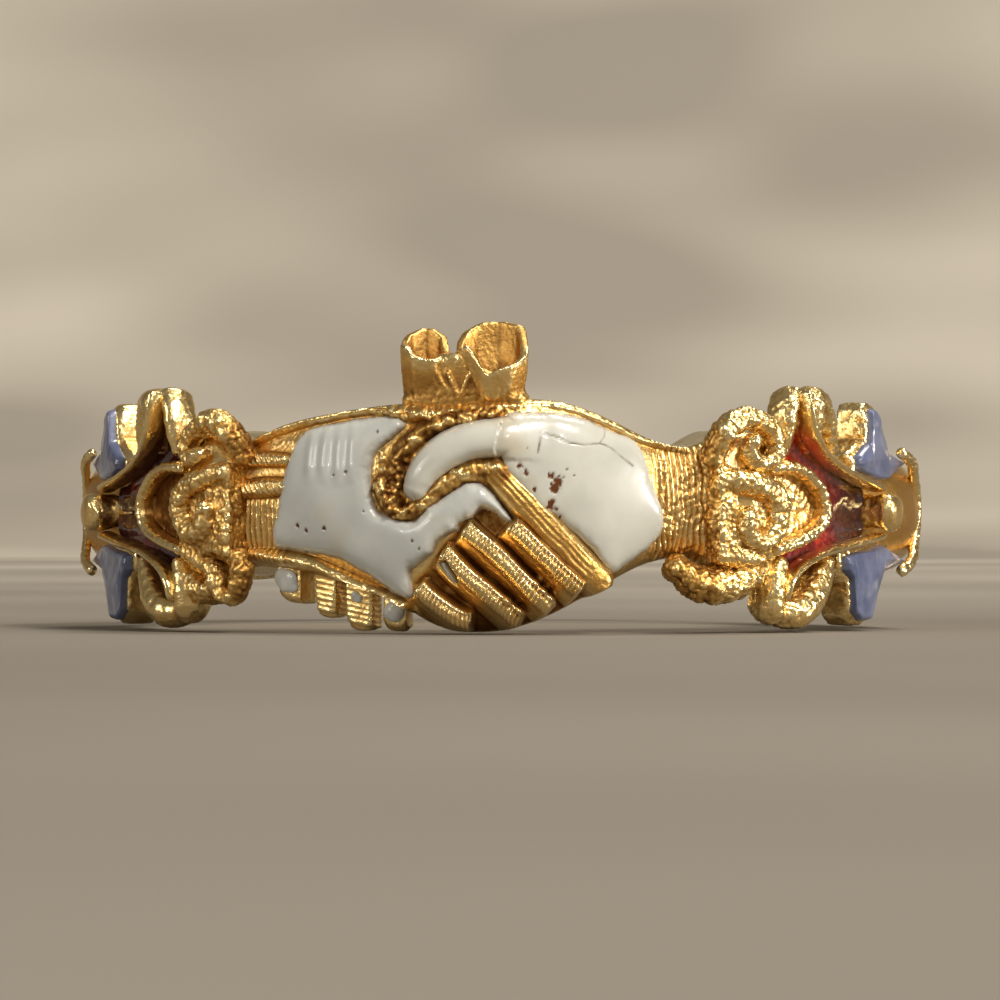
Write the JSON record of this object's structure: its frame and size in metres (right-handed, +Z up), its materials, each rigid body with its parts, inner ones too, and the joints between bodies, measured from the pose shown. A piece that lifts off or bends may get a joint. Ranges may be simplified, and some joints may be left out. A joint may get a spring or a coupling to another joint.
{
  "type": "fede ring",
  "caption": "Gold finger ring with clasped enamelled hands, ruffled cuffs, an open lobed crest and shoulders with enamelled leaves, lying on its side.",
  "frame": {"origin": "centre of the finger hole, on the finger axis at mid height of the hoop", "axes": "+Z up along the finger axis towards the crest, -Y towards the clasped hands, +X to the right as the hands are seen"},
  "size_m": [0.024, 0.0223, 0.0085],
  "materials": {
    "gold": "worn cast gold, polished on the ridges and reddish in the hollows",
    "white_enamel": "opaque glossy enamel, cracked and worn at its edges",
    "red_enamel": "dark translucent glossy enamel",
    "blue_enamel": "pale glossy enamel, faceted"
  },
  "bodies": {
    "root": {"gold_ring": "gold", "white_enamel_left_hand": "white_enamel", "white_enamel_right_hand": "white_enamel", "red_enamel_left": "red_enamel", "red_enamel_right": "red_enamel", "blue_enamel_upper_left": "blue_enamel", "blue_enamel_lower_left": "blue_enamel", "blue_enamel_upper_right": "blue_enamel", "blue_enamel_lower_right": "blue_enamel"}
  },
  "joints": []
}
